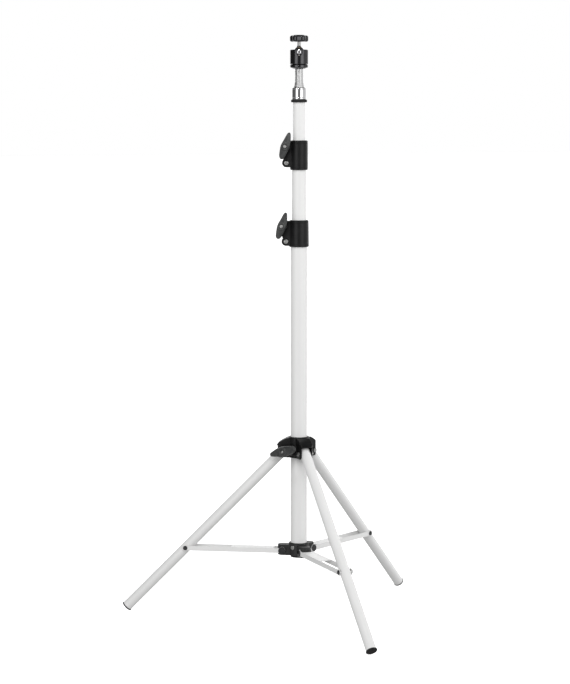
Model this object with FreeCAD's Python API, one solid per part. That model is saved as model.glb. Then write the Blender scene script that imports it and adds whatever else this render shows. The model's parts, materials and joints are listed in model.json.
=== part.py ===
import FreeCAD, Part
import math
import os

# Folding light stand with a mini ball head.
# Millimetres, +Z up. The origin is on the column axis, on the floor.
# Every arm, leg and strut is drawn pointing along +X and then turned to its azimuth.

# tripod linkage
leg_azimuths = {"front": -90.0, "right": 30.0, "left": 150.0}
pivot_radius = 22.0
strut_length = 132.0
leg_lean = 44.5
lower_pivot_z = 90.0
lean_sin = math.sin(math.radians(leg_lean))
lean_cos = math.cos(math.radians(leg_lean))
rivet_distance = strut_length / lean_sin
upper_pivot_z = lower_pivot_z + rivet_distance * lean_cos

# telescopic tubes: outer radius, wall, lower end, upper end
tube_wall = 1.0
column_radius = 11.0
column_bottom = 84.0
column_top = 517.0
middle_radius = 9.5
middle_bottom = 192.0
middle_top = 621.0
top_radius = 8.0
top_bottom = 272.0
top_tube_top = 690.6

# legs, struts and feet
leg_radius = 7.0
leg_head = 4.5
leg_pin_radius = 2.2
foot_radius = 7.6
foot_edge = 0.8
foot_flange = 1.8
sheet = 0.9
strut_gap = 15.8
strut_top = 3.0
strut_bottom = -3.5
web_start = 11.0
web_end = 70.0
hinge_lug = 4.8
rivet_lug = 4.4
hinge_pin_radius = 2.0
hinge_head = 4.8
rivet_radius = 2.1
rivet_head = 3.0
bush_radius = 3.2

# spiders
lower_hub_radius = 13.4
lower_hub_top = 101.0
lower_hub_bottom = 83.5
tongue_width = 15.0
tongue_top = 98.0
tongue_reach = 28.5
spider_screw_radius = 1.55
spider_screw_head = 2.9
spider_screw_z = 95.0
upper_hub_radius = 14.5
upper_hub_bottom = 217.0
upper_hub_top = 245.0
fork_reach = 29.5
fork_width = 18.4
fork_corner = 5.5
fork_roof_z = 232.6
leg_gap = 14.6
leg_screw_head = 2.8
spider_knob_azimuth = -150.0
spider_knob_z = 228.0
spider_knob_start = 30.0
spider_knob_size = 1.2
spider_knob_turn = 105.0
boss_radius = 7.2
boss_reach = 24.5
insert_radius = 3.6

# clamp collars: outer radius top and bottom, height limits, bolt and screw places
clamp_azimuth = 150.0
ear_half = 7.0
ear_gap = 1.8
relief_slot = 0.4
bolt_boss_radius = 6.6
screw_lug_radius = 5.9
clamp_screw_radius = 1.6
clamp_screw_head = 3.2
screw_sink = 1.6
clamp_nut = 4.0
bolt_radius = 2.45
upper_clamp = {
    "tube": middle_radius, "slider": top_radius, "bottom": 601.5, "top": 640.5,
    "r_bottom": 11.9, "r_top": 11.6, "bolt_x": 16.6, "bolt_z": 632.6,
    "screw_x": 16.0, "screw_z": 610.8, "stand_off": 12.3, "turn": -19.0,
}
lower_clamp = {
    "tube": column_radius, "slider": middle_radius, "bottom": 499.6, "top": 535.1,
    "r_bottom": 13.3, "r_top": 12.8, "bolt_x": 21.0, "bolt_z": 527.4,
    "screw_x": 16.6, "screw_z": 506.8, "stand_off": 13.8, "turn": -19.0,
}

# wing knobs
wing_thickness = 6.0

# ball head
notch_azimuth = -112.0
ring_radius = 10.6
spigot_radius = 9.6
spigot_neck = 5.3
spigot_flare = 6.9
spigot_base_z = 694.1
spigot_step_z = 709.9
spigot_flare_z = 717.1
spigot_top_z = 734.6
head_base_top = 740.2
housing_bottom = 740.5
housing_top = 759.5
housing_radius = 12.1
housing_notch = 4.5
skirt_radius = 12.0
ball_radius = 8.0
ball_z = 755.8
neck_radius = 2.25
thread_radius = 3.15
nut_bottom = 769.8
nut_top = 778.8
nut_azimuth = -22.7
nut_lobes = 6
nut_lobe_radius = 3.7
nut_lobe_place = 8.5
nut_body_radius = 9.6
nut_bore = 5.0

up = FreeCAD.Vector(0, 0, 1)
out = FreeCAD.Vector(1, 0, 0)
across = FreeCAD.Vector(0, 1, 0)
origin = FreeCAD.Vector(0, 0, 0)

os.makedirs("parts", exist_ok=True)


def vec(x, y, z):
    return FreeCAD.Vector(x, y, z)


def save(shape, name):
    if shape.ShapeType == "Compound" and len(shape.Solids) == 1:
        shape = shape.Solids[0]
    shape.exportStep("parts/" + name + ".step")


def rod(radius, start, direction, length):
    return Part.makeCylinder(radius, length, start, direction)


def ring(outer, inner, z0, z1):
    body = rod(outer, vec(0, 0, z0), up, z1 - z0)
    return body.cut(rod(inner, vec(0, 0, z0 - 1), up, z1 - z0 + 2))


def block(x0, x1, y0, y1, z0, z1):
    return Part.makeBox(x1 - x0, y1 - y0, z1 - z0, vec(x0, y0, z0))


def revolved(points):
    """Solid of revolution about Z from (radius, z) points."""
    wire = Part.makePolygon([vec(r, 0, z) for r, z in points + points[:1]])
    return Part.Face(wire).revolve(origin, up, 360)


def plate(points, y0, y1):
    """Flat plate with an (x, z) outline, from y0 to y1."""
    wire = Part.makePolygon([vec(x, y0, z) for x, z in points + points[:1]])
    return Part.Face(wire).extrude(vec(0, y1 - y0, 0))


def turned(shape, azimuth):
    copy = shape.copy()
    copy.rotate(origin, up, azimuth)
    return copy


def moved(shape, x, y, z):
    copy = shape.copy()
    copy.translate(vec(x, y, z))
    return copy


def rounded(shape, radius, wanted):
    """Fillet the edges for which wanted(edge) is true."""
    edges = [edge for edge in shape.Edges if wanted(edge)]
    return shape.makeFillet(radius, edges)


def is_rim(edge, z, least_radius):
    """A full or part circle at height z that is at least least_radius wide."""
    box = edge.BoundBox
    flat = abs(box.ZMin - z) < 0.01 and abs(box.ZMax - z) < 0.01
    return flat and hasattr(edge.Curve, "Radius") and edge.Curve.Radius > least_radius


def tube(radius, z0, z1):
    body = ring(radius, radius - tube_wall, z0, z1)
    return rounded(body, 0.3, lambda e: is_rim(e, z1, radius - 0.1))


# ---- column and tubes -------------------------------------------------------

def column_cap():
    """Plastic cap that closes the lower end of the column."""
    inner = column_radius - tube_wall - 0.05
    body = rod(inner, vec(0, 0, column_bottom), up, 8)
    body = body.fuse(rod(column_radius, vec(0, 0, column_bottom - 3), up, 3))
    return body.cut(rod(inner - 2, vec(0, 0, column_bottom + 1), up, 20))


def glide(radius, host_radius, z):
    """Nylon bush on the lower end of a sliding tube, running inside its host tube."""
    outer = host_radius - tube_wall - 0.1
    bore = radius - tube_wall - 1.5
    body = ring(outer, radius + 0.03, z - 1, z + 14)
    return body.fuse(ring(outer, bore, z - 2.5, z - 0.02)).removeSplitter()


# ---- lower spider and struts ------------------------------------------------

def tongue():
    """Arm of the lower spider that a strut straddles, round at its end."""
    half = tongue_width / 2
    end = tongue_reach - half
    height = tongue_top - lower_hub_bottom
    arm = block(8, end, -half, half, lower_hub_bottom, tongue_top)
    arm = arm.fuse(rod(half, vec(end, 0, lower_hub_bottom), up, height)).removeSplitter()
    arm = rounded(arm, 0.8, lambda e: e.BoundBox.ZMin > tongue_top - 0.01 and e.BoundBox.XMax > end)
    return arm.cut(rod(hinge_pin_radius + 0.05, vec(pivot_radius, -20, lower_pivot_z), across, 40))


def lower_spider():
    hub = ring(lower_hub_radius, column_radius + 0.02, lower_hub_bottom, lower_hub_top)
    hub = rounded(hub, 1.0, lambda e: is_rim(e, lower_hub_top, lower_hub_radius - 0.1))
    for azimuth in leg_azimuths.values():
        hub = hub.fuse(turned(tongue(), azimuth))
    hub = hub.cut(rod(column_radius + 0.02, vec(0, 0, 60), up, 80))
    return hub.cut(spider_screw_hole()).removeSplitter()


def spider_screw_hole():
    """Hole through the column wall and the lower spider, opposite a leg."""
    hole = rod(spider_screw_radius + 0.05, vec(column_radius - 3, 0, spider_screw_z), out, 9)
    return turned(hole, spider_knob_azimuth)


def spider_screw():
    """Self-tapping screw that holds the lower spider to the column."""
    start = column_radius - 1.5
    shank = rod(spider_screw_radius, vec(start, 0, spider_screw_z), out, lower_hub_radius - start)
    head = rod(spider_screw_head, vec(lower_hub_radius, 0, spider_screw_z), out, 1.3)
    head = rounded(head, 0.8, lambda e: e.BoundBox.XMin > lower_hub_radius + 1.2)
    return turned(shank.fuse(head), spider_knob_azimuth)


def strut_wall(y0, y1):
    """One side wall of a strut, with a round lug at each pivot."""
    wall = block(0, strut_length, y0, y1, strut_bottom, strut_top)
    for x, radius in ((0.0, hinge_lug), (strut_length, rivet_lug)):
        wall = wall.fuse(rod(radius, vec(x, y0, 0), across, y1 - y0))
    return wall


def strut():
    """Shallow sheet channel, open below, whose outer part is a fork for the leg."""
    half = strut_gap / 2
    body = block(web_start, web_end, -half - sheet, half + sheet, strut_top - sheet, strut_top)
    body = body.fuse(strut_wall(half, half + sheet))
    body = body.fuse(strut_wall(-half - sheet, -half))
    body = body.cut(rod(hinge_pin_radius + 0.02, vec(0, -20, 0), across, 40))
    body = body.cut(rod(rivet_radius, vec(strut_length, -20, 0), across, 40))
    return body.removeSplitter()


def strut_pin():
    """Hinge rivet through a strut and its tongue."""
    half = strut_gap / 2 + sheet
    pin = rod(hinge_pin_radius, vec(0, -half, 0), across, 2 * half)
    for side in (-1, 1):
        head = rod(hinge_head, vec(0, side * half, 0), across * side, 1.2)
        pin = pin.fuse(rounded(head, 0.7, lambda e: abs(e.BoundBox.Center.y) > half + 1.1))
    return pin


def strut_rivets():
    """Two rivet ends at the leg, one in each side wall of the strut."""
    half = strut_gap / 2
    ends = []
    for side in (-1, 1):
        shank = rod(rivet_radius - 0.02, vec(strut_length, side * half, 0), across * side, sheet)
        head = rod(rivet_head, vec(strut_length, side * (half + sheet), 0), across * side, 1.5)
        head = rounded(head, 0.9, lambda e: abs(e.BoundBox.Center.y) > half + sheet + 1.4)
        ends.append(shank.fuse(head))
    return Part.makeCompound(ends)


# ---- legs -------------------------------------------------------------------

# the lowest edge of the leaning foot touches the floor
floor_reach = (upper_pivot_z - foot_edge - (foot_radius - foot_edge) * lean_sin) / lean_cos
leg_end = floor_reach - foot_flange + foot_edge


def leg_tube():
    """Leg hanging straight down from its pivot at the origin."""
    body = rod(leg_radius, vec(0, 0, leg_head), up * -1, leg_end + leg_head)
    bore = rod(leg_radius - tube_wall, vec(0, 0, leg_head + 1), up * -1, leg_end + leg_head + 2)
    body = body.cut(bore)
    body = body.cut(rod(leg_pin_radius + 0.05, vec(0, -20, 0), across, 40))
    return body.cut(rod(bush_radius, vec(0, -20, -rivet_distance), across, 40))


def leg_plug():
    """Plastic plug in the head of a leg, round the pivot screw."""
    inner = leg_radius - tube_wall - 0.02
    body = rod(inner, vec(0, 0, leg_head + 0.6), up * -1, leg_head + 14)
    body = rounded(body, 0.8, lambda e: is_rim(e, leg_head + 0.6, 1))
    return body.cut(rod(leg_pin_radius + 0.05, vec(0, -20, 0), across, 40))


def leg_bush():
    """Spacer tube across a leg that keeps the strut rivet from crushing it."""
    half = strut_gap / 2 - 0.3
    body = rod(bush_radius - 0.02, vec(0, -half, -rivet_distance), across, 2 * half)
    return body.cut(rod(rivet_radius + 0.1, vec(0, -20, -rivet_distance), across, 40))


def foot():
    """Rubber end plug with a rounded flange and a low domed end."""
    inner = leg_radius - tube_wall - 0.02
    top = -leg_end
    flange = rod(foot_radius, vec(0, 0, top - foot_flange), up, foot_flange)
    flange = rounded(flange, foot_edge, lambda e: is_rim(e, top - foot_flange, 1) or is_rim(e, top, 1))
    dome = revolved([(0, top - 1), (5.4, top - 1), (5.0, top - 2.5), (3.0, top - 2.9), (0, top - 3.0)])
    stem = rod(inner, vec(0, 0, top), up, 16)
    return flange.fuse([dome, stem]).removeSplitter()


# ---- upper spider -----------------------------------------------------------

def leg_fork():
    """Two cheeks and a roof that hold the head of one leg, round at the corners seen from above."""
    half = fork_width / 2
    low = upper_hub_bottom
    high = upper_hub_top
    outline = [
        (9, low), (25, low), (fork_reach, low + 4.5), (fork_reach, high - 11.5),
        (fork_reach - 3, high - 7.5), (fork_reach - 8, high - 4.5), (upper_hub_radius + 1, high - 1.5),
        (9, high - 1.5),
    ]
    flat = half - fork_corner
    corner = fork_reach - fork_corner
    height = high - low
    plan = block(8, corner, -half, half, low, high).fuse(block(8, fork_reach, -flat, flat, low, high))
    for side in (-1, 1):
        plan = plan.fuse(rod(fork_corner, vec(corner, side * flat, low), up, height))
    return plate(outline, -half, half).common(plan.removeSplitter())


def leg_slot():
    """Room that a leg sweeps inside its fork, open below and outward."""
    half = leg_gap / 2
    slot = block(pivot_radius - 7.35, 60, -half, half, upper_hub_bottom - 20, upper_pivot_z)
    slot = slot.fuse(block(pivot_radius, 60, -half, half, upper_hub_bottom - 20, fork_roof_z + 0.4))
    drum = rod(8.66, vec(pivot_radius, -half, upper_pivot_z), across, 2 * half)
    return slot.fuse(drum).removeSplitter()


def upper_spider():
    hub = rod(upper_hub_radius, vec(0, 0, upper_hub_bottom), up, upper_hub_top - upper_hub_bottom)
    hub = rounded(hub, 1.5, lambda e: is_rim(e, upper_hub_top, 1))
    boss = rod(boss_radius, vec(0, 0, spider_knob_z), out, boss_reach)
    boss = rounded(boss, 0.8, lambda e: e.BoundBox.XMin > boss_reach - 0.5)
    hub = hub.fuse(turned(boss, spider_knob_azimuth))
    for azimuth in leg_azimuths.values():
        hub = hub.fuse(turned(leg_fork(), azimuth))
    for azimuth in leg_azimuths.values():
        pin = rod(leg_pin_radius, vec(pivot_radius, -30, upper_pivot_z), across, 60)
        hub = hub.cut(turned(leg_slot(), azimuth))
        hub = hub.cut(turned(pin, azimuth))
    hub = hub.cut(rod(column_radius + 0.12, vec(0, 0, 180), up, 100))
    hub = hub.cut(turned(rod(insert_radius, vec(0, 0, spider_knob_z), out, 60), spider_knob_azimuth))
    return hub.removeSplitter()


def leg_screws():
    """Three pivot screws, each across its fork, with a round head and a nut."""
    half = fork_width / 2
    screws = []
    for azimuth in leg_azimuths.values():
        shank = rod(leg_pin_radius - 0.02, vec(0, -half, 0), across, 2 * half)
        head = rod(leg_screw_head, vec(0, half, 0), across, 1.8)
        head = rounded(head, 1.1, lambda e: e.BoundBox.YMin > half + 1.7)
        nut = hexagon(leg_screw_head, 2.2)
        nut.rotate(origin, out, 90)
        nut.translate(vec(0, -half, 0))
        screw = shank.fuse([head, nut])
        screws.append(turned(moved(screw, pivot_radius, 0, upper_pivot_z), azimuth))
    return Part.makeCompound(screws)


def hexagon(half_flats, height):
    """Hexagonal prism standing on the XY plane."""
    reach = half_flats / math.cos(math.radians(30))
    corners = []
    for index in range(7):
        angle = math.radians(60 * index)
        corners.append(vec(reach * math.cos(angle), reach * math.sin(angle), 0))
    return Part.Face(Part.makePolygon(corners)).extrude(vec(0, 0, height))


def spider_insert():
    """Brass thread insert for the spider's knob."""
    body = rod(insert_radius - 0.02, vec(15.0, 0, spider_knob_z), out, boss_reach - 15.2)
    body = body.cut(rod(bolt_radius + 0.05, vec(0, 0, spider_knob_z), out, 40))
    return turned(body, spider_knob_azimuth)


def brake_pad():
    """Nylon slug that the knob presses against the column."""
    body = rod(insert_radius - 0.2, vec(9, 0, spider_knob_z), out, 4.6)
    body = body.cut(rod(column_radius + 0.12, vec(0, 0, 180), up, 100))
    return turned(body, spider_knob_azimuth)


# ---- wing knobs -------------------------------------------------------------

def wing_outline(y, size):
    """S-shaped outline of the two wings in the plane at y: long tip up, blunt tip down."""
    points = [
        (5.9, 0.0), (4.4, 8.0), (3.3, 14.5), (2.2, 18.0), (0.2, 19.3), (-1.8, 17.8), (-3.9, 12.0),
        (-5.4, 6.0), (-5.9, 0.0), (-5.1, -8.0), (-4.1, -14.0), (-2.2, -17.0), (0.6, -17.5),
        (3.1, -15.2), (4.8, -8.5),
    ]
    curve = Part.BSplineCurve()
    curve.interpolate(Points=[vec(size * x, y, size * z) for x, z in points], PeriodicFlag=True)
    return Part.Face(Part.Wire(curve.toShape()))


def wing_knob(stand_off, size=1.0):
    """Knob on an axis along +Y: a hub that starts at y = 0 and wings beyond stand_off."""
    wing_front = stand_off + wing_thickness
    cap_front = wing_front + 1.2
    wings = wing_outline(stand_off, size).extrude(vec(0, wing_thickness, 0))
    wings = rounded(wings, 1.2, lambda e: e.BoundBox.YMin > wing_front - 0.1)
    hub = Part.makeCone(6.2 * size, 5.4 * size, stand_off + 2, origin, across)
    cap = rod(5.6 * size, vec(0, stand_off + 2, 0), across, wing_thickness - 0.8)
    cap = rounded(cap, 1.0, lambda e: e.BoundBox.YMin > cap_front - 0.1)
    body = wings.fuse([hub, cap]).removeSplitter()
    body = body.cut(rod(bolt_radius, vec(0, -1, 0), across, 60))
    return body.cut(rod(bolt_radius + 0.65, vec(0, cap_front - 1.8, 0), across, 20))


def knob_bolt(start, end):
    """Bolt along +Y whose domed end shows in the middle of the knob."""
    shank = rod(bolt_radius, vec(0, start, 0), across, end - start)
    return rounded(shank, 0.9, lambda e: e.BoundBox.YMin > end - 0.1)


# ---- clamp collars ----------------------------------------------------------

def clamp_parts(spec, name, knob_name):
    """Collar, its bush, fixing screw, nut, bolt and wing knob."""
    height = spec["top"] - spec["bottom"]
    middle = spec["bottom"] + 0.5 * height
    body = Part.makeCone(spec["r_bottom"], spec["r_top"], height, vec(0, 0, spec["bottom"]), up)
    body = rounded(body, 1.6, lambda e: is_rim(e, spec["top"], 1))
    body = rounded(body, 1.0, lambda e: is_rim(e, spec["bottom"], 1))
    body = body.fuse(clamp_ears(spec))
    body = body.cut(rod(spec["tube"] + 0.02, vec(0, 0, spec["bottom"] - 5), up, middle - spec["bottom"] + 5))
    body = body.cut(rod(spec["slider"] + 0.3, vec(0, 0, middle), up, height))
    body = body.cut(rod(spec["slider"] + 1.3, vec(0, 0, middle + 1), up, height / 2 - 3))
    body = body.cut(block(4, 40, -ear_gap / 2, ear_gap / 2, 0, 2000))
    body = body.cut(block(3, 40, -30, 30, middle - relief_slot / 2, middle + relief_slot / 2))
    body = body.cut(rod(bolt_radius + 0.15, vec(spec["bolt_x"], -30, spec["bolt_z"]), across, 60))
    body = body.cut(rod(clamp_screw_radius, vec(spec["screw_x"], -30, spec["screw_z"]), across, 60))
    recess = vec(spec["screw_x"], ear_half - screw_sink, spec["screw_z"])
    body = body.cut(rod(clamp_screw_head + 0.2, recess, across, 10))
    nut_place = vec(spec["bolt_x"], -ear_half - 0.5, spec["bolt_z"])
    nut = hexagon(clamp_nut, 3.6)
    nut.rotate(origin, out, -90)
    nut.translate(nut_place)
    body = body.cut(nut)
    save(turned(body.removeSplitter(), clamp_azimuth), name)

    bush = ring(spec["slider"] + 1.26, spec["slider"] + 0.08, middle + 1.05, spec["top"] - 2.1)
    bush = bush.cut(block(0, 40, -1.2, 1.2, 0, 2000))
    save(turned(bush, clamp_azimuth), name + "_bush")

    nut = nut.cut(rod(bolt_radius + 0.05, vec(spec["bolt_x"], -30, spec["bolt_z"]), across, 60))
    save(turned(nut, clamp_azimuth), name + "_nut")
    save(turned(clamp_screw(spec), clamp_azimuth), name + "_screw")

    place = vec(spec["bolt_x"], ear_half + 0.3, spec["bolt_z"])
    reach = spec["stand_off"] - ear_half - 0.3
    knob = wing_knob(reach)
    knob.rotate(origin, across, spec["turn"])
    knob.translate(place)
    save(turned(knob, clamp_azimuth), knob_name)
    bolt = knob_bolt(-2 * ear_half - 1.5, reach + 6.6)
    bolt.translate(place)
    save(turned(bolt, clamp_azimuth), knob_name + "_bolt")


def clamp_ears(spec):
    """Pair of ears, later split, with a round boss for the bolt and a lug for the screw."""
    half = ear_half
    width = 2 * half
    bolt_boss = rod(bolt_boss_radius, vec(spec["bolt_x"], -half, spec["bolt_z"]), across, width)
    screw_lug = rod(screw_lug_radius, vec(spec["screw_x"], -half, spec["screw_z"]), across, width)
    low = spec["screw_z"] - screw_lug_radius
    high = spec["bolt_z"] + bolt_boss_radius
    outline = [
        (0, low + 0.4), (spec["screw_x"], low), (spec["screw_x"] + 4.2, spec["screw_z"] + 4.1),
        (spec["bolt_x"] + 4.6, spec["bolt_z"] - 4.7), (spec["bolt_x"], high), (0, high),
    ]
    ears = plate(outline, -half, half).fuse([bolt_boss, screw_lug]).removeSplitter()
    keep = block(0, 60, -30, 30, spec["bottom"] + 0.6, spec["top"] - 0.6)
    return ears.common(keep)


def clamp_screw(spec):
    """Cross-head screw that holds the collar on its tube."""
    x = spec["screw_x"]
    z = spec["screw_z"]
    face = ear_half - screw_sink
    shank = rod(clamp_screw_radius - 0.02, vec(x, -ear_half + 0.5, z), across, face + ear_half - 0.5)
    head = rod(clamp_screw_head, vec(x, face, z), across, 2.3)
    head = rounded(head, 1.2, lambda e: e.BoundBox.YMin > face + 2.2)
    arm = 1.9
    slit = 0.4
    head = head.cut(block(x - arm, x + arm, face + 1.0, face + 4, z - slit, z + slit))
    head = head.cut(block(x - slit, x + slit, face + 1.0, face + 4, z - arm, z + arm))
    return shank.fuse(head)


# ---- top fitting and ball head ----------------------------------------------

def rubber_ring():
    body = ring(ring_radius, top_radius - tube_wall - 0.1, top_tube_top, spigot_base_z)
    return rounded(body, 1.0, lambda e: hasattr(e.Curve, "Radius") and e.Curve.Radius > ring_radius - 0.1)


def spigot():
    """Turned metal adapter: plug in the tube, wide barrel, flared neck and a threaded tip."""
    inner = top_radius - tube_wall - 0.1
    edge = 0.7
    return revolved([
        (0, top_tube_top - 22), (inner - 1, top_tube_top - 22), (inner, top_tube_top - 21),
        (inner, spigot_base_z), (spigot_radius - edge, spigot_base_z),
        (spigot_radius, spigot_base_z + edge), (spigot_radius, spigot_step_z - edge),
        (spigot_radius - edge, spigot_step_z), (spigot_flare, spigot_step_z),
        (spigot_flare - 0.4, spigot_step_z + 2.2), (spigot_neck + 0.5, spigot_flare_z - 1.6),
        (spigot_neck, spigot_flare_z), (spigot_neck, spigot_top_z),
        (thread_radius, spigot_top_z), (thread_radius, spigot_top_z + 6), (0, spigot_top_z + 6),
    ])


def head_base():
    """Foot of the ball head: skirt, threaded boss and a ledge for the seat."""
    bore = thread_radius + 0.02
    boss = housing_radius - 3.2
    return revolved([
        (bore, spigot_top_z), (7.2, spigot_top_z), (9.4, spigot_top_z + 0.8),
        (skirt_radius, spigot_top_z + 1.8), (skirt_radius, head_base_top - 1.0),
        (skirt_radius - 1.0, head_base_top), (boss, head_base_top),
        (boss, head_base_top + 6.2), (bore, head_base_top + 6.2),
    ])


def ball_seat():
    """Nylon ring that carries the ball."""
    bottom = head_base_top + 6.25
    body = ring(8.8, 3.6, bottom, ball_z - 4.6)
    return body.cut(Part.makeSphere(ball_radius + 0.06, vec(0, 0, ball_z)))


def head_housing():
    """Lock ring with a spherical lip and a U-shaped notch down one side."""
    body = rod(housing_radius, vec(0, 0, housing_bottom), up, housing_top - housing_bottom)
    body = rounded(body, 1.0, lambda e: is_rim(e, housing_top, 1))
    body = rounded(body, 0.5, lambda e: is_rim(e, housing_bottom, 1))
    bore_top = ball_z - 4.4
    body = body.cut(rod(housing_radius - 3.1, vec(0, 0, housing_bottom - 1), up, bore_top - housing_bottom + 1))
    body = body.cut(Part.makeSphere(ball_radius + 0.1, vec(0, 0, ball_z)))
    notch = rod(housing_notch, vec(0, 0, ball_z), out, 30)
    notch = notch.fuse(block(0, 30, -housing_notch, housing_notch, ball_z, ball_z + 20))
    lip_chamfer = Part.makeCone(6.6, 9.6, 3.2, vec(0, 0, housing_top - 1.6), up)
    return body.cut(notch).cut(lip_chamfer).removeSplitter()


def ball():
    body = Part.makeSphere(ball_radius, vec(0, 0, ball_z))
    collar = Part.makeCone(3.6, 2.9, 1.9, vec(0, 0, ball_z + 7.0), up)
    return body.fuse(collar).cut(rod(neck_radius, vec(0, 0, ball_z + 1), up, 30))


def camera_stud():
    """Steel stud pressed into the ball, with the quarter-inch camera thread at its tip."""
    tip = nut_top - 0.6
    return revolved([
        (0, ball_z + 1.02), (neck_radius, ball_z + 1.02), (neck_radius, nut_bottom - 0.6),
        (thread_radius, nut_bottom + 0.3), (thread_radius, tip - 0.6), (thread_radius - 0.6, tip),
        (0, tip),
    ])


def lock_nut():
    """Lobed hand nut under the camera."""
    height = nut_top - 0.7 - nut_bottom
    body = rod(nut_body_radius, vec(0, 0, nut_bottom), up, height)
    for index in range(nut_lobes):
        lobe = rod(nut_lobe_radius, vec(nut_lobe_place, 0, nut_bottom), up, height)
        body = body.fuse(turned(lobe, 360.0 * index / nut_lobes))
    body = body.removeSplitter()
    body = rounded(body, 1.4, lambda e: e.BoundBox.ZMin > nut_top - 0.8)
    body = rounded(body, 1.0, lambda e: e.BoundBox.ZMax < nut_bottom + 0.01)
    crown = Part.makeCone(7.2, 6.6, 0.8, vec(0, 0, nut_top - 0.8), up)
    body = body.fuse(crown)
    return body.cut(rod(nut_bore, vec(0, 0, nut_bottom - 1), up, 20))


def nut_insert():
    """Threaded metal insert in the hand nut."""
    return ring(nut_bore - 0.02, thread_radius + 0.05, nut_bottom + 0.4, nut_top)


# ---- write every sub-part ---------------------------------------------------

def place_leg_part(shape, azimuth):
    """Lean a part drawn on a hanging leg, and put it on its pivot."""
    copy = shape.copy()
    copy.rotate(origin, across, -leg_lean)
    return turned(moved(copy, pivot_radius, 0, upper_pivot_z), azimuth)


def place_strut_part(shape, azimuth):
    return turned(moved(shape, pivot_radius, 0, lower_pivot_z), azimuth)


def place_spider_knob_part(shape):
    """Point a part drawn along +Y outward from the spider, wings tilted."""
    copy = shape.copy()
    copy.rotate(origin, across, spider_knob_turn)
    copy.rotate(origin, up, -90)
    return turned(moved(copy, spider_knob_start, 0, spider_knob_z), spider_knob_azimuth)


save(tube(column_radius, column_bottom, column_top).cut(spider_screw_hole()), "column_tube")
save(column_cap(), "column_cap")
save(lower_spider(), "lower_spider")
save(spider_screw(), "lower_spider_screw")
save(tube(middle_radius, middle_bottom, middle_top), "middle_tube")
save(glide(middle_radius, column_radius, middle_bottom), "middle_glide")
save(tube(top_radius, top_bottom, top_tube_top), "top_tube")
save(glide(top_radius, middle_radius, top_bottom), "top_glide")
clamp_parts(lower_clamp, "lower_collar", "lower_knob")
clamp_parts(upper_clamp, "upper_collar", "upper_knob")

save(upper_spider(), "upper_spider")
save(leg_screws(), "leg_pivot_screws")
save(spider_insert(), "spider_insert")
save(brake_pad(), "brake_pad")

save(place_spider_knob_part(wing_knob(1.0, spider_knob_size)), "spider_knob")
save(place_spider_knob_part(knob_bolt(14.0 - spider_knob_start, 7.6)), "spider_knob_stud")

for side, azimuth in leg_azimuths.items():
    save(place_leg_part(leg_tube(), azimuth), "leg_" + side)
    save(place_leg_part(leg_plug(), azimuth), "leg_" + side + "_plug")
    save(place_leg_part(leg_bush(), azimuth), "leg_" + side + "_bush")
    save(place_leg_part(foot(), azimuth), "leg_" + side + "_foot")
    save(place_strut_part(strut(), azimuth), "strut_" + side)
    save(place_strut_part(strut_pin(), azimuth), "strut_" + side + "_pin")
    save(place_strut_part(strut_rivets(), azimuth), "strut_" + side + "_rivets")

save(rubber_ring(), "rubber_ring")
save(spigot(), "spigot")
save(head_base(), "head_base")
save(ball_seat(), "ball_seat")
save(turned(head_housing(), notch_azimuth), "head_housing")
save(ball(), "ball")
save(camera_stud(), "camera_stud")
save(turned(lock_nut(), nut_azimuth), "lock_nut")
save(nut_insert(), "lock_nut_insert")
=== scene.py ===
import json
import math
import bpy
from mathutils import Matrix, Vector


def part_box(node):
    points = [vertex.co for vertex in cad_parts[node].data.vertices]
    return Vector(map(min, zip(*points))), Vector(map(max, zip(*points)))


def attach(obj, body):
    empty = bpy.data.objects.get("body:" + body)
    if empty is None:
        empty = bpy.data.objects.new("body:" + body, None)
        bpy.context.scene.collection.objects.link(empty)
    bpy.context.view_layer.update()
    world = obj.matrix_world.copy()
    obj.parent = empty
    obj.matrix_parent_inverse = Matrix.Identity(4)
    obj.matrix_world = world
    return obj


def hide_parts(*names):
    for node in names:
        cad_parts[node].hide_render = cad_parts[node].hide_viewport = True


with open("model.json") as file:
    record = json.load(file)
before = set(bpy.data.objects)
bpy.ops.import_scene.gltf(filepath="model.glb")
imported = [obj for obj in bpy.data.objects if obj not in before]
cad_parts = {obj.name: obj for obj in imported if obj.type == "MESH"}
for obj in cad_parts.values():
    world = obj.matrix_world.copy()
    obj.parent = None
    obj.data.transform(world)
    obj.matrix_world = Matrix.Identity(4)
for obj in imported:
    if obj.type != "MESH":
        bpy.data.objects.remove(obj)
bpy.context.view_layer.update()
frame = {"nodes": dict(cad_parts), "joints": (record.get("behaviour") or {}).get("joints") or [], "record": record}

nodes = frame["nodes"]
joints = {joint["name"]: joint for joint in frame["joints"]}
mm = 0.001
upward = Vector((0, 0, 1))

print("stage 1: camera, lights and floor")

# the camera stands back and looks slightly down, a long lens keeps the column straight
cameraSet = {"distance": 2.882, "height": 0.676, "side": -22.7, "lookDown": 6.02, "aimLeft": 0.369,
             "lens": 114.1, "sensor": 36, "near": 0.05, "far": 60}


def makeCamera():
    lens = bpy.data.cameras.new("standCamera")
    lens.lens = cameraSet["lens"]
    lens.sensor_width = cameraSet["sensor"]
    lens.clip_start = cameraSet["near"]
    lens.clip_end = cameraSet["far"]
    camera = bpy.data.objects.new("standCamera", lens)
    bpy.context.scene.collection.objects.link(camera)
    side = math.radians(cameraSet["side"])
    away = cameraSet["distance"]
    camera.location = (away * math.sin(side), -away * math.cos(side), cameraSet["height"])
    camera.rotation_euler = (
        math.radians(90 - cameraSet["lookDown"]), 0, side + math.radians(cameraSet["aimLeft"]))
    bpy.context.scene.camera = camera


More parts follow.
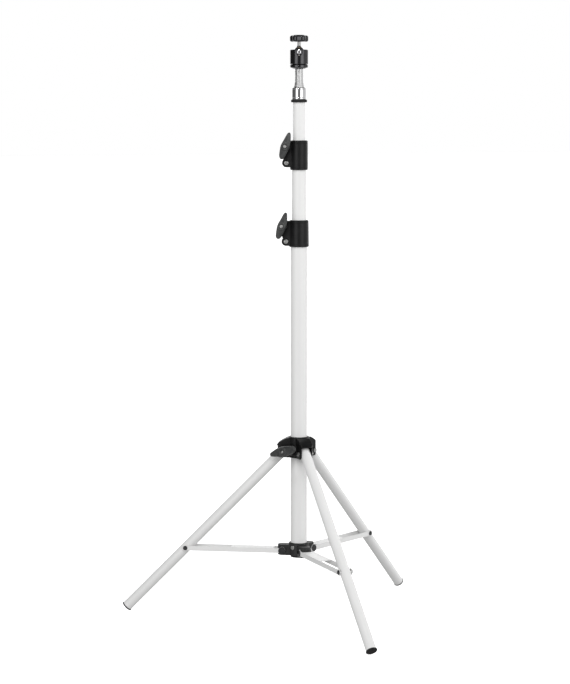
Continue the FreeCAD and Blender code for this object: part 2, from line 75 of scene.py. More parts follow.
# angles are from the camera's side of the stand, to its right is positive
softboxes = {
    "rimRight": {"angle": 104, "away": 1.5, "height": 0.9, "wide": 0.9, "tall": 1.6, "power": 12,
                 "mirrored": False},
    "highFront": {"angle": -6, "away": 1.7, "height": 1.35, "wide": 1.2, "tall": 0.8, "power": 16,
                  "mirrored": False},
    "spotTop": {"angle": -8, "away": 1.1, "height": 2.0, "wide": 0.22, "tall": 0.22, "power": 5,
                "mirrored": True},
}
lightAim = Vector((0, 0, 0.42))

# the ring of boards round the stand: angle and brightness
studioRing = ((-180, 0.6), (-141, 0.6), (-135, 0.03), (-54, 0.05), (-49, 0.62), (-22, 0.62), (-16, 0.06),
              (18, 0.06), (24, 0.62), (56, 0.62), (62, 0.22), (137, 0.22), (143, 0.6), (180, 0.6))
# how bright each share is, and between which heights of the view it fades in or out
studioSet = {"seen": 1.0, "boards": 2.6, "ceiling": 0.05, "ground": 0.45, "skyCast": 0.64, "groundCast": 0.42,
             "ringCast": 0.60, "overhead": 0.3, "wallTop": (0.42, 0.62), "groundTop": (-0.30, -0.12),
             "horizon": (-0.25, 0.15), "dimFrom": (0.35, 0.75)}
floorSet = {"size": 60.0, "colour": (0.93, 0.93, 0.93), "glow": 0.95, "rough": 0.9}


def placeAround(thing, spec):
    turn = math.radians(cameraSet["side"] + spec["angle"])
    spot = Vector((spec["away"] * math.sin(turn), -spec["away"] * math.cos(turn), spec["height"]))
    thing.location = spot
    thing.rotation_euler = (lightAim - spot).to_track_quat("-Z", "Y").to_euler()


def makeSoftbox(name, spec):
    lamp = bpy.data.lights.new(name, "AREA")
    lamp.shape = "RECTANGLE"
    lamp.size = spec["wide"]
    lamp.size_y = spec["tall"]
    lamp.energy = spec["power"]
    lampPiece = bpy.data.objects.new(name, lamp)
    lampPiece.visible_glossy = spec["mirrored"]
    bpy.context.scene.collection.objects.link(lampPiece)
    placeAround(lampPiece, spec)


def mathNode(tree, kind, first, second):
    node = tree.nodes.new("ShaderNodeMath")
    node.operation = kind
    for index, value in enumerate((first, second)):
        if isinstance(value, float):
            node.inputs[index].default_value = value
        else:
            tree.links.new(value, node.inputs[index])
    return node.outputs["Value"]


def steps(tree, value, low, high, fromLow, fromHigh):
    ranger = tree.nodes.new("ShaderNodeMapRange")
    ranger.interpolation_type = "SMOOTHSTEP"
    for socket, number in (("From Min", fromLow), ("From Max", fromHigh), ("To Min", low), ("To Max", high)):
        ranger.inputs[socket].default_value = number
    tree.links.new(value, ranger.inputs["Value"])
    return ranger.outputs["Result"]


def ringAround(tree, direction):
    turned = tree.nodes.new("ShaderNodeMapping")
    turned.inputs["Rotation"].default_value = (0, 0, math.radians(90 - cameraSet["side"]))
    tree.links.new(direction, turned.inputs["Vector"])
    allRound = tree.nodes.new("ShaderNodeTexGradient")
    allRound.gradient_type = "RADIAL"
    tree.links.new(turned.outputs["Vector"], allRound.inputs["Vector"])
    ramp = tree.nodes.new("ShaderNodeValToRGB")
    stops = ramp.color_ramp.elements
    while len(stops) < len(studioRing):
        stops.new(0.5)
    for stop, (angle, bright) in zip(stops, studioRing):
        stop.position = 0.5 + angle / 360
        stop.color = (bright, bright, bright, 1)
    tree.links.new(allRound.outputs["Fac"], ramp.inputs["Fac"])
    return ramp.outputs["Color"]


def makeRoom():
    # mirrors see the ring of boards, dull paint sees an even glow with a little of the ring
    room = bpy.data.worlds.new("paleStudio")
    bpy.context.scene.world = room
    room.use_nodes = True
    tree = room.node_tree
    glow = tree.nodes["Background"]
    place = tree.nodes.new("ShaderNodeTexCoord")
    split = tree.nodes.new("ShaderNodeSeparateXYZ")
    tree.links.new(place.outputs["Generated"], split.inputs["Vector"])
    height = split.outputs["Z"]
    ring = ringAround(tree, place.outputs["Generated"])
    below = steps(tree, height, 1.0, 0.0, *studioSet["groundTop"])
    walls = mathNode(tree, "MULTIPLY", ring, steps(tree, height, 1.0, 0.0, *studioSet["wallTop"]))
    walls = mathNode(tree, "MULTIPLY", walls, mathNode(tree, "SUBTRACT", 1.0, below))
    mirrored = mathNode(tree, "MULTIPLY", walls, studioSet["boards"])
    above = steps(tree, height, 0.0, studioSet["ceiling"], *studioSet["wallTop"])
    mirrored = mathNode(tree, "ADD", mirrored, above)
    mirrored = mathNode(tree, "ADD", mirrored, mathNode(tree, "MULTIPLY", below, studioSet["ground"]))
    even = steps(tree, height, studioSet["groundCast"], studioSet["skyCast"], *studioSet["horizon"])
    dim = steps(tree, height, 1.0, studioSet["overhead"], *studioSet["dimFrom"])
    even = mathNode(tree, "MULTIPLY", even, dim)
    dull = mathNode(tree, "ADD", even, mathNode(tree, "MULTIPLY", walls, studioSet["ringCast"]))
    rays = tree.nodes.new("ShaderNodeLightPath")
    strength = None
    for ray, value in (("Is Diffuse Ray", dull), ("Is Glossy Ray", mirrored)):
        part = mathNode(tree, "MULTIPLY", rays.outputs[ray], value)
        strength = part if strength is None else mathNode(tree, "ADD", strength, part)
    seen = mathNode(tree, "MULTIPLY", rays.outputs["Is Camera Ray"], studioSet["seen"])
    tree.links.new(mathNode(tree, "ADD", strength, seen), glow.inputs["Strength"])
    glow.inputs["Color"].default_value = (1, 1, 1, 1)


def makeFloor():
    half = floorSet["size"] / 2
    mesh = bpy.data.meshes.new("paleFloor")
    corners = [(-half, -half, 0), (half, -half, 0), (half, half, 0), (-half, half, 0)]
    mesh.from_pydata(corners, [], [(0, 1, 2, 3)])
    floor = bpy.data.objects.new("paleFloor", mesh)
    bpy.context.scene.collection.objects.link(floor)
    floorFinish = bpy.data.materials.new("paleFloor")
    floorFinish.use_nodes = True
    shader = floorFinish.node_tree.nodes["Principled BSDF"]
    shader.inputs["Base Color"].default_value = (*floorSet["colour"], 1)
    shader.inputs["Roughness"].default_value = floorSet["rough"]
    shader.inputs["Emission Color"].default_value = (1, 1, 1, 1)
    shader.inputs["Emission Strength"].default_value = floorSet["glow"]
    floor.data.materials.append(floorFinish)
    floor.visible_diffuse = False
    floor.visible_glossy = False


bpy.context.scene.view_settings.view_transform = "Standard"
makeCamera()
makeRoom()
makeFloor()
for boxName, boxSpec in softboxes.items():
    makeSoftbox(boxName, boxSpec)

print("stage 2: finishes")


def newFinish(name, colour, rough, metal=0.0):
    finish = bpy.data.materials.new(name)
    finish.use_nodes = True
    finish.diffuse_color = (*colour, 1)
    shader = finish.node_tree.nodes["Principled BSDF"]
    shader.inputs["Base Color"].default_value = (*colour, 1)
    shader.inputs["Roughness"].default_value = rough
    shader.inputs["Metallic"].default_value = metal
    return finish, finish.node_tree, shader


def pieceSpace(tree, stretch=(1, 1, 1)):
    place = tree.nodes.new("ShaderNodeTexCoord")
    mapping = tree.nodes.new("ShaderNodeMapping")
    mapping.inputs["Scale"].default_value = stretch
    tree.links.new(place.outputs["Object"], mapping.inputs["Vector"])
    return mapping.outputs["Vector"]


def speckle(tree, space, scale, detail=2.0, rough=0.5):
    grain = tree.nodes.new("ShaderNodeTexNoise")
    grain.inputs["Scale"].default_value = scale
    grain.inputs["Detail"].default_value = detail
    grain.inputs["Roughness"].default_value = rough
    tree.links.new(space, grain.inputs["Vector"])
    return grain.outputs["Fac"]


def spread(tree, value, low, high, fromLow=0.3, fromHigh=0.7):
    ranger = tree.nodes.new("ShaderNodeMapRange")
    ranger.inputs["From Min"].default_value = fromLow
    ranger.inputs["From Max"].default_value = fromHigh
    ranger.inputs["To Min"].default_value = low
    ranger.inputs["To Max"].default_value = high
    tree.links.new(value, ranger.inputs["Value"])
    return ranger.outputs["Result"]


def blendColours(tree, amount, first, second):
    mixer = tree.nodes.new("ShaderNodeMix")
    mixer.data_type = "RGBA"
    tree.links.new(amount, mixer.inputs[0])
    for socket, value in ((mixer.inputs[6], first), (mixer.inputs[7], second)):
        if isinstance(value, tuple):
            socket.default_value = (*value, 1)
        else:
            tree.links.new(value, socket)
    return mixer.outputs[2]


def shade(colour, amount):
    return tuple(part * amount for part in colour)


def raised(tree, height, strength, depth, under=None):
    bump = tree.nodes.new("ShaderNodeBump")
    bump.inputs["Strength"].default_value = strength
    bump.inputs["Distance"].default_value = depth
    tree.links.new(height, bump.inputs["Height"])
    if under is not None:
        tree.links.new(under, bump.inputs["Normal"])
    return bump.outputs["Normal"]


def softEdge(tree, radius):
    edge = tree.nodes.new("ShaderNodeBevel")
    edge.samples = 4
    edge.inputs["Radius"].default_value = radius
    return edge.outputs["Normal"]


def edgeRub(tree, rounded, space, scale):
    # where the rounded normal leaves the true one there is an edge, broken up by grain
    geometry = tree.nodes.new("ShaderNodeNewGeometry")
    compare = tree.nodes.new("ShaderNodeVectorMath")
    compare.operation = "DOT_PRODUCT"
    tree.links.new(rounded, compare.inputs[0])
    tree.links.new(geometry.outputs["Normal"], compare.inputs[1])
    edge = spread(tree, compare.outputs["Value"], 1.0, 0.0, 0.86, 0.995)
    broken = spread(tree, speckle(tree, space, scale, 4.0, 0.6), 0.0, 1.0, 0.42, 0.62)
    return mathNode(tree, "MULTIPLY", edge, broken)


paintLook = {"colour": (0.82, 0.82, 0.815), "worn": (0.62, 0.62, 0.61), "rough": (0.30, 0.40), "peel": 0.10,
             "dull": 0.95, "gloss": 0.38, "coat": 0.06, "coatRough": 0.22, "edge": 0.3 * mm,
             "plainRough": 0.35, "clouds": 45.0, "rubs": 900.0, "sheen": 160.0, "ripple": 700.0,
             "rippleHigh": 0.06 * mm}


def whitePaint(name="whitePaint", along=(1, 1, 1)):
    finish, tree, shader = newFinish(name, paintLook["colour"], paintLook["plainRough"])
    space = pieceSpace(tree)
    rounded = softEdge(tree, paintLook["edge"])
    cloud = spread(tree, speckle(tree, pieceSpace(tree, along), paintLook["clouds"], 3.0), 0.0, 0.35)
    dull = blendColours(tree, cloud, paintLook["colour"], shade(paintLook["colour"], paintLook["dull"]))
    rub = edgeRub(tree, rounded, space, paintLook["rubs"])
    tree.links.new(blendColours(tree, rub, dull, paintLook["worn"]), shader.inputs["Base Color"])
    sheen = speckle(tree, space, paintLook["sheen"], 4.0)
    tree.links.new(spread(tree, sheen, *paintLook["rough"]), shader.inputs["Roughness"])
    peel = speckle(tree, space, paintLook["ripple"], 1.5)
    bumps = raised(tree, peel, paintLook["peel"], paintLook["rippleHigh"], rounded)
    tree.links.new(bumps, shader.inputs["Normal"])
    shader.inputs["Specular IOR Level"].default_value = paintLook["gloss"]
    shader.inputs["Coat Weight"].default_value = paintLook["coat"]
    shader.inputs["Coat Roughness"].default_value = paintLook["coatRough"]
    return finish


# scales shared by all the moulded parts
mouldedGrain = {"patches": 120.0, "rubs": 1400.0, "sheen": 500.0, "high": 0.05 * mm, "coatRough": 0.25}
blackLook = {"colour": (0.004, 0.004, 0.0042), "pale": (0.009, 0.009, 0.0092), "worn": (0.05, 0.05, 0.05),
             "rough": (0.33, 0.44), "grain": 0.35, "gloss": 0.34}


def mouldedPlastic(name, look, grainScale, edge, coat=0.0):
    finish, tree, shader = newFinish(name, look["colour"], sum(look["rough"]) / 2)
    space = pieceSpace(tree)
    rounded = softEdge(tree, edge)
    patches = spread(tree, speckle(tree, space, mouldedGrain["patches"], 3.0), 0.0, 1.0)
    body = blendColours(tree, patches, look["colour"], look["pale"])
    rub = edgeRub(tree, rounded, space, mouldedGrain["rubs"])
    tree.links.new(blendColours(tree, rub, body, look["worn"]), shader.inputs["Base Color"])
    sheen = speckle(tree, space, mouldedGrain["sheen"], 3.0)
    tree.links.new(spread(tree, sheen, *look["rough"]), shader.inputs["Roughness"])
    coarse = speckle(tree, space, grainScale, 2.0, 0.6)
    bumps = raised(tree, coarse, look["grain"], mouldedGrain["high"], rounded)
    tree.links.new(bumps, shader.inputs["Normal"])
    shader.inputs["Specular IOR Level"].default_value = look["gloss"]
    shader.inputs["Coat Weight"].default_value = coat
    shader.inputs["Coat Roughness"].default_value = mouldedGrain["coatRough"]
    return finish


darkLook = {"colour": (0.018, 0.018, 0.0185), "pale": (0.030, 0.030, 0.030), "worn": (0.09, 0.09, 0.09),
            "rough": (0.38, 0.50), "grain": 0.30, "gloss": 0.34}
knobLook = {"colour": (0.030, 0.031, 0.031), "pale": (0.075, 0.077, 0.076), "worn": (0.16, 0.16, 0.16),
            "rough": (0.28, 0.42), "grain": 0.55, "gloss": 0.34}
rubberLook = {"colour": (0.014, 0.014, 0.014), "pale": (0.026, 0.026, 0.026), "worn": (0.06, 0.06, 0.058),
              "rough": (0.62, 0.80), "grain": 0.5, "gloss": 0.25}
nylonLook = {"plain": (0.74, 0.72, 0.67), "colour": (0.76, 0.745, 0.70), "pale": (0.69, 0.67, 0.61),
             "rough": 0.42, "through": 0.2, "depth": 1.5 * mm, "edge": 0.2 * mm, "haze": 260.0,
             "grain": 1800.0}


def naturalNylon():
    finish, tree, shader = newFinish("naturalNylon", nylonLook["plain"], nylonLook["rough"])
    space = pieceSpace(tree)
    haze = spread(tree, speckle(tree, space, nylonLook["haze"], 3.0), 0.0, 1.0)
    body = blendColours(tree, haze, nylonLook["colour"], nylonLook["pale"])
    tree.links.new(body, shader.inputs["Base Color"])
    grain = speckle(tree, space, nylonLook["grain"])
    rounded = softEdge(tree, nylonLook["edge"])
    tree.links.new(raised(tree, grain, 0.2, 0.03 * mm, rounded), shader.inputs["Normal"])
    shader.inputs["Subsurface Weight"].default_value = nylonLook["through"]
    shader.inputs["Subsurface Scale"].default_value = nylonLook["depth"]
    return finish


def turnedMetal(name, colour, rough, ringScale, strength, edge=0.15 * mm, dark=0.9):
    # fine rings from the lathe, a little uneven, and small dull spots
    finish, tree, shader = newFinish(name, colour, sum(rough) / 2, 1.0)
    space = pieceSpace(tree)
    rounded = softEdge(tree, edge)
    rings = speckle(tree, pieceSpace(tree, (12, 12, ringScale)), 1.0, 2.0)
    spots = spread(tree, speckle(tree, space, 420.0, 4.0), 0.0, 1.0)
    tree.links.new(blendColours(tree, spots, colour, shade(colour, dark)), shader.inputs["Base Color"])
    tree.links.new(spread(tree, rings, *rough), shader.inputs["Roughness"])
    tree.links.new(raised(tree, rings, strength, 0.02 * mm, rounded), shader.inputs["Normal"])
    return finish


anodisedLook = {"plain": (0.085, 0.085, 0.088), "plainRough": 0.2, "colour": (0.075, 0.075, 0.078),
                "pale": (0.10, 0.10, 0.104), "worn": (0.34, 0.34, 0.34), "rough": (0.13, 0.21),
                "edge": 0.25 * mm, "patches": 380.0, "rubs": 2200.0, "sheen": 900.0, "grain": 3000.0}


def anodisedBlack():
    look = anodisedLook
    finish, tree, shader = newFinish("anodisedBlack", look["plain"], look["plainRough"], 1.0)
    space = pieceSpace(tree)
    rounded = softEdge(tree, look["edge"])
    cloud = spread(tree, speckle(tree, space, look["patches"], 3.0), 0.0, 1.0)
    body = blendColours(tree, cloud, look["colour"], look["pale"])
    rub = edgeRub(tree, rounded, space, look["rubs"])
    tree.links.new(blendColours(tree, rub, body, look["worn"]), shader.inputs["Base Color"])
    sheen = speckle(tree, space, look["sheen"], 3.0)
    tree.links.new(spread(tree, sheen, *look["rough"]), shader.inputs["Roughness"])
    grain = speckle(tree, space, look["grain"], 2.0)
    tree.links.new(raised(tree, grain, 0.2, 0.02 * mm, rounded), shader.inputs["Normal"])
    return finish


finishes = {
    "white_paint": whitePaint(),
    "black_plastic": mouldedPlastic("blackPlastic", blackLook, 2600.0, 0.4 * mm),
    "dark_plastic": mouldedPlastic("darkPlastic", darkLook, 2400.0, 0.4 * mm),
    "knob_plastic": mouldedPlastic("knobPlastic", knobLook, 1500.0, 0.3 * mm, 0.15),
    "rubber": mouldedPlastic("blackRubber", rubberLook, 1300.0, 0.3 * mm),
    "nylon": naturalNylon(),
    "steel": turnedMetal("zincSteel", (0.60, 0.60, 0.59), (0.22, 0.36), 900.0, 0.25),
    "chrome": turnedMetal("brightChrome", (0.93, 0.93, 0.94), (0.04, 0.09), 2600.0, 0.05),
    "black_metal": anodisedBlack(),
    "brass": turnedMetal("turnedBrass", (0.76, 0.58, 0.27), (0.20, 0.34), 1500.0, 0.2),
}
satinSteel = turnedMetal("satinSteel", (0.90, 0.90, 0.90), (0.44, 0.54), 2200.0, 0.3)
tubePaint = whitePaint("tubePaint", (1, 1, 0.12))  # clouds drawn out along the tubes

nodeSlots = {}
for part in frame["record"]["subparts"]:
    nodeSlots[part["node"]] = part["material_slot"]
for nodeName, nodeObject in nodes.items():
    slotName = nodeSlots[nodeName]
    coat = tubePaint if nodeName.endswith("_tube") and slotName == "white_paint" else finishes[slotName]
    nodeObject.data.materials.clear()
    nodeObject.data.materials.append(coat)

print("stage 3: detailed pieces")

bodyOf = {}
for body, members in frame["record"]["behaviour"]["bodies"].items():
    for member in members:
        bodyOf[member] = body


def addPiece(name, verts, faces, finish, body, slotName, *replaced):
    mesh = bpy.data.meshes.new(name)
    mesh.from_pydata(verts, [], faces)
    mesh.validate()
    mesh.shade_smooth()
    mesh.materials.append(finish)
    piece = bpy.data.objects.new(name, mesh)
    bpy.context.scene.collection.objects.link(piece)
    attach(piece, body)
    if replaced:
        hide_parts(*replaced)
    return piece


def settle(piece):
    # work the modifiers into the mesh
    seen = bpy.context.evaluated_depsgraph_get()
    worked = bpy.data.meshes.new_from_object(piece.evaluated_get(seen))
    piece.modifiers.clear()
    piece.data = worked
    piece.data.shade_smooth()


def blendSolid(piece, spec):
    # join overlapping closed shapes into one skin and soften its edges
    finish = piece.data.materials[0]
    remesh = piece.modifiers.new("skin", "REMESH")
    remesh.mode = "VOXEL"
    remesh.voxel_size = spec["grain"] * mm
    soften = piece.modifiers.new("soften", "SMOOTH")
    soften.factor = 0.5
    soften.iterations = spec["soften"]
    settle(piece)
    piece.data.materials.clear()
    piece.data.materials.append(finish)


def joinShapes(*shapes):
    verts, faces = [], []
    for shapeVerts, shapeFaces in shapes:
        start = len(verts)
        verts += shapeVerts
        faces += [tuple(start + index for index in face) for face in shapeFaces]
    return verts, faces


def turnedShape(profile, sides, lobe=None):
    # profile: radius and height in mm up the axis, with how much of the lobed outline each ring takes
    verts, faces = [], []
    for radius, height, share in profile:
        for side in range(sides):
            angle = 2 * math.pi * side / sides
            reach = radius + (share * lobe(angle) if lobe else 0)
            verts.append(Vector((reach * math.cos(angle), reach * math.sin(angle), height)) * mm)
    rings = len(profile)
    for ring in range(rings):
        nextRing = (ring + 1) % rings
        for side in range(sides):
            nextSide = (side + 1) % sides
            faces.append((ring * sides + side, ring * sides + nextSide,
                          nextRing * sides + nextSide, nextRing * sides + side))
    return verts, faces


def roundCorner(profile, cut, steps=4):
    # replace each corner of a closed profile by a small arc
    most = 0.45  # share of a side that one corner may use
    smooth = []
    count = len(profile)
    for index, (radius, height, share) in enumerate(profile):
        here = Vector((radius, height))
        before = Vector(profile[index - 1][:2]) - here
        after = Vector(profile[(index + 1) % count][:2]) - here
        size = min(cut, before.length * most, after.length * most)
        start = here + before.normalized() * size
        end = here + after.normalized() * size
        for step in range(steps + 1):
            t = step / steps
            spot = start * (1 - t) ** 2 + here * 2 * t * (1 - t) + end * t * t
            smooth.append((spot.x, spot.y, share))
    return smooth


# wing knobs, in mm: the hub's two radii, the cap over it and the recess for the bolt's end
knobShape = {"thick": 6.0, "round": 2.1, "tipThin": 0.42, "tipAt": 18.0, "hub": (6.2, 5.4), "cap": 5.6,
             "proud": 1.2, "recess": 3.1, "bore": 2.6, "slack": 0.15, "corner": 0.9, "sides": 56,
             "grain": 0.36, "soften": 4}
wingPoints = ((5.9, 0.0), (4.4, 8.0), (3.3, 14.5), (2.2, 18.0), (0.2, 19.3), (-1.8, 17.8), (-3.9, 12.0),
              (-5.4, 6.0), (-5.9, 0.0), (-5.1, -8.0), (-4.1, -14.0), (-2.2, -17.0), (0.6, -17.5),
              (3.1, -15.2), (4.8, -8.5))
wingKnobs = {
    "lowerWingKnob": {"node": "lower_knob", "joint": "lower_knob_turn", "turn": -19, "size": 1.0},
    "upperWingKnob": {"node": "upper_knob", "joint": "upper_knob_turn", "turn": -19, "size": 1.0},
    "spiderWingKnob": {"node": "spider_knob", "joint": "spider_knob_turn", "turn": 105, "size": 1.2},
}


def wingOutline(size, each=6):
    outline = []
    count = len(wingPoints)
    for index in range(count):
        p0, p1, p2, p3 = (Vector(wingPoints[(index + shift) % count]) * size for shift in (-1, 0, 1, 2))
        for step in range(each):
            t = step / each
            outline.append(0.5 * (2 * p1 + (p2 - p0) * t + (2 * p0 - 5 * p1 + 4 * p2 - p3) * t * t
                                  + (3 * p1 - p0 - 3 * p2 + p3) * t ** 3))
    return outline


pillowSteps = 8  # rings from the front face to the back


def wingShape(size, start):
    # a pillow with rounded edges, thinner towards both tips, drawn at y from start
    outline = wingOutline(size)
    count = len(outline)
    half = knobShape["thick"] / 2
    edge = knobShape["round"]
    rings = []
    middle = pillowSteps / 2
    for step in range(pillowSteps + 1):
        angle = math.pi * step / pillowSteps
        inset = edge * (1 - math.sin(angle))
        depth = (half - edge) * (1 if step < middle else -1 if step > middle else 0) + edge * math.cos(angle)
        rings.append((inset, depth))
    verts, faces = [], []
    for inset, depth in rings:
        for index in range(count):
            along = (outline[(index + 1) % count] - outline[index - 1]).normalized()
            spot = outline[index] + Vector((-along.y, along.x)) * inset
            tip = min(1.0, abs(spot.y) / (knobShape["tipAt"] * size))
            thin = 1 - knobShape["tipThin"] * tip ** 1.6
            verts.append(Vector((spot.x, start + half + depth * thin, spot.y)) * mm)
    for ring in range(len(rings) - 1):
        for index in range(count):
            faces.append((ring * count + index, ring * count + (index + 1) % count,
                          (ring + 1) * count + (index + 1) % count, (ring + 1) * count + index))
    faces.append(tuple(range(count - 1, -1, -1)))
    faces.append(tuple((len(rings) - 1) * count + index for index in range(count)))
    return verts, faces


def knobPlace(joint, turn):
    axis = Vector(joint["axis"]).normalized()
    side = axis.cross(upward).normalized()
    grid = Matrix((side, axis, upward)).transposed()
    return grid @ Matrix.Rotation(math.radians(turn), 3, "Y")


def nodeSpan(node, origin, axis):
    reach = [(corner.co - origin).dot(axis) for corner in nodes[node].data.vertices]
    return min(reach), max(reach)


def makeWingKnob(name, spec):
    joint = joints[spec["joint"]]
    origin = Vector(joint["pos_m"])
    axis = Vector(joint["axis"]).normalized()
    low, high = nodeSpan(spec["node"], origin, axis)
    length = (high - low) / mm
    start = length - knobShape["thick"] - knobShape["proud"]
    size = spec["size"]
    slack, recess, bore = knobShape["slack"], knobShape["recess"], knobShape["bore"]
    bottom, top = (radius * size for radius in knobShape["hub"])
    cap = knobShape["cap"] * size - 0.1
    front = start + knobShape["thick"]
    hub = ((recess, slack, 0), (bottom - slack, slack, 0), (top, start + 2, 0), (cap, start + 2.2, 0),
           (cap, length - 0.1, 0), (recess, length - 0.1, 0), (recess - 0.5, front - 0.4, 0),
           (bore, front - 0.6, 0), (bore, slack, 0))
    verts, faces = turnedShape(roundCorner(hub, knobShape["corner"]), knobShape["sides"])
    lay = Matrix.Rotation(math.radians(-90), 3, "X")
    verts, faces = joinShapes(([lay @ spot for spot in verts], faces), wingShape(size, start))
    place = knobPlace(joint, spec["turn"])
    verts = [origin + axis * low + place @ spot for spot in verts]
    knob = addPiece(name, verts, faces, finishes["knob_plastic"], bodyOf[spec["node"]], "knob_plastic",
                    spec["node"])
    blendSolid(knob, knobShape)


for knobName, knobSpec in wingKnobs.items():
    makeWingKnob(knobName, knobSpec)
print("  wing knobs")

# lobed lock nut, in mm: lobes reach the outer radius, the waist lies between them
nutShape = {"lobes": 6, "turn": -22.7, "outer": 12.2, "waist": 10.4, "blunt": 0.62, "bore": 5.02,
            "round": 1.5, "shoulder": 8.2, "rim": 7.0, "sides": 180}


def nutLobe(angle):
    wave = math.cos(nutShape["lobes"] * (angle - math.radians(nutShape["turn"])))
    rise = (wave + 1) / 2
    return (nutShape["waist"] - nutShape["outer"]) * (1 - rise ** nutShape["blunt"])


def makeLockNut():
    low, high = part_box("lock_nut")
    bottom, top = low[2] / mm, high[2] / mm
    outer, bore = nutShape["outer"], nutShape["bore"]
    shoulder, rim = nutShape["shoulder"], nutShape["rim"]
    profile = ((bore, bottom + 0.3, 0), (bore + 0.5, bottom, 0), (outer - 1.6, bottom, 1),
               (outer, bottom + 1.3, 1), (outer, top - 2.2, 1), (outer - 1.5, top - 0.7, 1),
               (shoulder, top - 0.7, 0.3), (rim, top, 0), (bore + 0.4, top, 0), (bore, top - 0.4, 0))
    verts, faces = turnedShape(roundCorner(profile, nutShape["round"]), nutShape["sides"], nutLobe)
    addPiece("lobedLockNut", verts, faces, finishes["black_metal"], bodyOf["lock_nut"], "black_metal",
             "lock_nut")


makeLockNut()

# threads, in mm
threads = {
    "cameraStud": {"node": "camera_stud", "pitch": 1.27, "depth": 0.45, "radius": 3.15, "threaded": 8.4,
                   "shank": 2.25},
    "knobStud": {"node": "spider_knob_stud", "pitch": 0.8, "depth": 0.38, "radius": 2.45},
}
threadCut = {"sides": 40, "eachTurn": 8, "flank": 1.35, "topChamfer": 0.7, "footChamfer": 0.5}


def threadShape(length, plain, spec, plainRadius):
    # rings up the axis, cut by a V that climbs one pitch a turn, with chamfered ends
    sides = threadCut["sides"]
    rings = int(length / (spec["pitch"] / threadCut["eachTurn"]))
    verts, faces = [], []
    for ring in range(rings + 1):
        height = length * ring / rings
        for side in range(sides):
            turn = side / sides
            phase = (height / spec["pitch"] - turn) % 1
            cut = spec["depth"] * min(1.0, threadCut["flank"] * (1 - abs(2 * phase - 1)))
            radius = plainRadius if height < plain else spec["radius"] - cut
            atTop = spec["radius"] - threadCut["topChamfer"] + max(0.0, length - height)
            atFoot = spec["radius"] - threadCut["footChamfer"] + height
            radius = min(radius, atTop, atFoot)
            angle = 2 * math.pi * turn
            verts.append(Vector((radius * math.cos(angle), radius * math.sin(angle), height)) * mm)
    for ring in range(rings):
        for side in range(sides):
            across = (side + 1) % sides
            faces.append((ring * sides + side, ring * sides + across,
                          (ring + 1) * sides + across, (ring + 1) * sides + side))
    faces.append(tuple(range(sides - 1, -1, -1)))
    faces.append(tuple(rings * sides + side for side in range(sides)))
    return verts, faces


def makeCameraStud():
    spec = threads["cameraStud"]
    low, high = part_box(spec["node"])
    length = (high[2] - low[2]) / mm
    verts, faces = threadShape(length, length - spec["threaded"], spec, spec["shank"])
    verts = [Vector((0, 0, low[2])) + spot for spot in verts]
    addPiece("threadedCameraStud", verts, faces, finishes["steel"], bodyOf[spec["node"]], "steel",
             spec["node"])


def makeKnobStud():
    spec = threads["knobStud"]
    joint = joints["spider_knob_turn"]
    origin = Vector(joint["pos_m"])
    axis = Vector(joint["axis"]).normalized()
    low, high = nodeSpan(spec["node"], origin, axis)
    length = (high - low) / mm
    verts, faces = threadShape(length, 0.0, spec, spec["radius"])
    place = knobPlace(joint, 0) @ Matrix.Rotation(math.radians(-90), 3, "X")
    verts = [origin + axis * low + place @ spot for spot in verts]
    addPiece("threadedKnobStud", verts, faces, finishes["steel"], bodyOf[spec["node"]], "steel",
             spec["node"])


makeCameraStud()
makeKnobStud()
print("  lock nut and threads")

# turned adapter between the top tube and the ball head, in mm: a bright barrel under a satin neck
adapterShape = {"barrel": 9.6, "barrelHigh": 15.8, "flare": 6.9, "neck": 5.3, "plug": 6.9, "thread": 3.15,
                "core": 0.02, "groove": 0.18, "grooves": (696.6, 707.6), "barrelRound": 0.25,
                "neckRound": 0.5, "sides": 96}


def makeAdapter():
    low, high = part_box("spigot")
    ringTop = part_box("rubber_ring")[1][2] / mm
    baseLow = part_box("head_base")[0][2] / mm
    foot, tip = low[2] / mm, high[2] / mm
    step = ringTop + adapterShape["barrelHigh"]
    core, plug, barrel = adapterShape["core"], adapterShape["plug"], adapterShape["barrel"]
    flare, neck, thread = adapterShape["flare"], adapterShape["neck"], adapterShape["thread"]
    bright = [(core, foot, 0), (plug - 1, foot, 0), (plug, foot + 1, 0), (plug, ringTop, 0),
              (barrel - 0.5, ringTop, 0), (barrel, ringTop + 0.6, 0)]
    for height in adapterShape["grooves"]:
        cut = adapterShape["groove"]
        bright += [(barrel, height - 0.3, 0), (barrel - cut, height, 0), (barrel, height + 0.3, 0)]
    bright += [(barrel, step - 0.8, 0), (barrel - 0.8, step, 0), (flare - 0.3, step, 0), (core, step, 0)]
    verts, faces = turnedShape(roundCorner(bright, adapterShape["barrelRound"], 2), adapterShape["sides"])
    addPiece("adapterBarrel", verts, faces, finishes["chrome"], bodyOf["spigot"], "chrome", "spigot")
    satin = ((core, step - 0.5, 0), (flare, step - 0.5, 0), (flare, step + 0.4, 0),
             (flare - 0.5, step + 2.4, 0), (neck + 0.45, step + 5.6, 0), (neck, step + 7.4, 0),
             (neck, baseLow, 0), (thread, baseLow, 0), (thread, tip, 0), (core, tip, 0))
    verts, faces = turnedShape(roundCorner(satin, adapterShape["neckRound"], 3), adapterShape["sides"])
    addPiece("adapterNeck", verts, faces, satinSteel, bodyOf["spigot"], "chrome", "spigot")


makeAdapter()

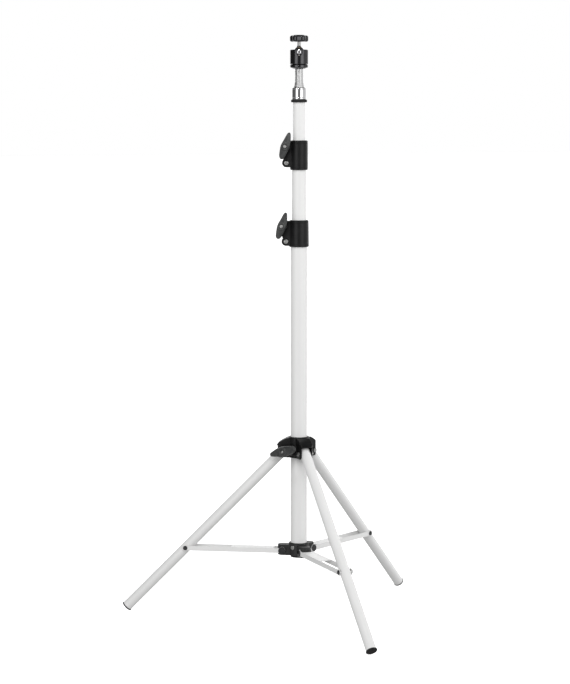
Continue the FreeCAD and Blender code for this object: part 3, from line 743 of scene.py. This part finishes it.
# softened mouldings, in mm: the panel is pressed in between the two rims
mouldings = {
    "lowerClampCollar": {"node": "lower_collar", "grain": 0.42, "soften": 3, "panel": 0.35, "rim": 3.0},
    "upperClampCollar": {"node": "upper_collar", "grain": 0.42, "soften": 3, "panel": 0.35, "rim": 3.0},
    "upperSpiderMoulding": {"node": "upper_spider", "grain": 0.42, "soften": 3, "panel": 0, "rim": 0},
    "lowerSpiderMoulding": {"node": "lower_spider", "grain": 0.42, "soften": 3, "panel": 0, "rim": 0},
}
# where the panel runs, in degrees, and the depth of wall it may touch, in mm
panelShape = {"from": -25, "sweep": 200, "fade": 4, "inner": 1.6, "outer": 0.4, "slope": 0.8}


def pressPanel(mesh, spec, low, high):
    # a shallow panel round the barrel between the two rims, away from the ears, faded in at its ends
    start, sweep, fade = (math.radians(panelShape[key]) for key in ("from", "sweep", "fade"))
    rim = spec["rim"] * mm
    widest = max(math.hypot(spot.co.x, spot.co.y) for spot in mesh.vertices if spot.co.x > 0)
    for spot in mesh.vertices:
        radius = math.hypot(spot.co.x, spot.co.y)
        if radius < widest - panelShape["inner"] * mm or radius > widest + panelShape["outer"] * mm:
            continue
        room = min(spot.co.z - low - rim, high - rim - spot.co.z) / (panelShape["slope"] * mm)
        away = (start - math.atan2(spot.co.y, spot.co.x)) % (2 * math.pi)
        depth = spec["panel"] * mm * max(0.0, min(1.0, room))
        if away < sweep:
            edge = min(away, sweep - away) / fade
            spot.co.xy *= 1 - depth * min(1.0, edge) / radius


def makeMoulding(name, spec):
    node = nodes[spec["node"]]
    slotName = nodeSlots[spec["node"]]
    verts = [node.matrix_world @ spot.co for spot in node.data.vertices]
    faces = [tuple(face.vertices) for face in node.data.polygons]
    piece = addPiece(name, verts, faces, finishes[slotName], bodyOf[spec["node"]], slotName, spec["node"])
    blendSolid(piece, spec)
    if spec["panel"]:
        low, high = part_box(spec["node"])
        pressPanel(piece.data, spec, low[2], high[2])


for mouldingName, mouldingSpec in mouldings.items():
    makeMoulding(mouldingName, mouldingSpec)
print("  collars and spiders")
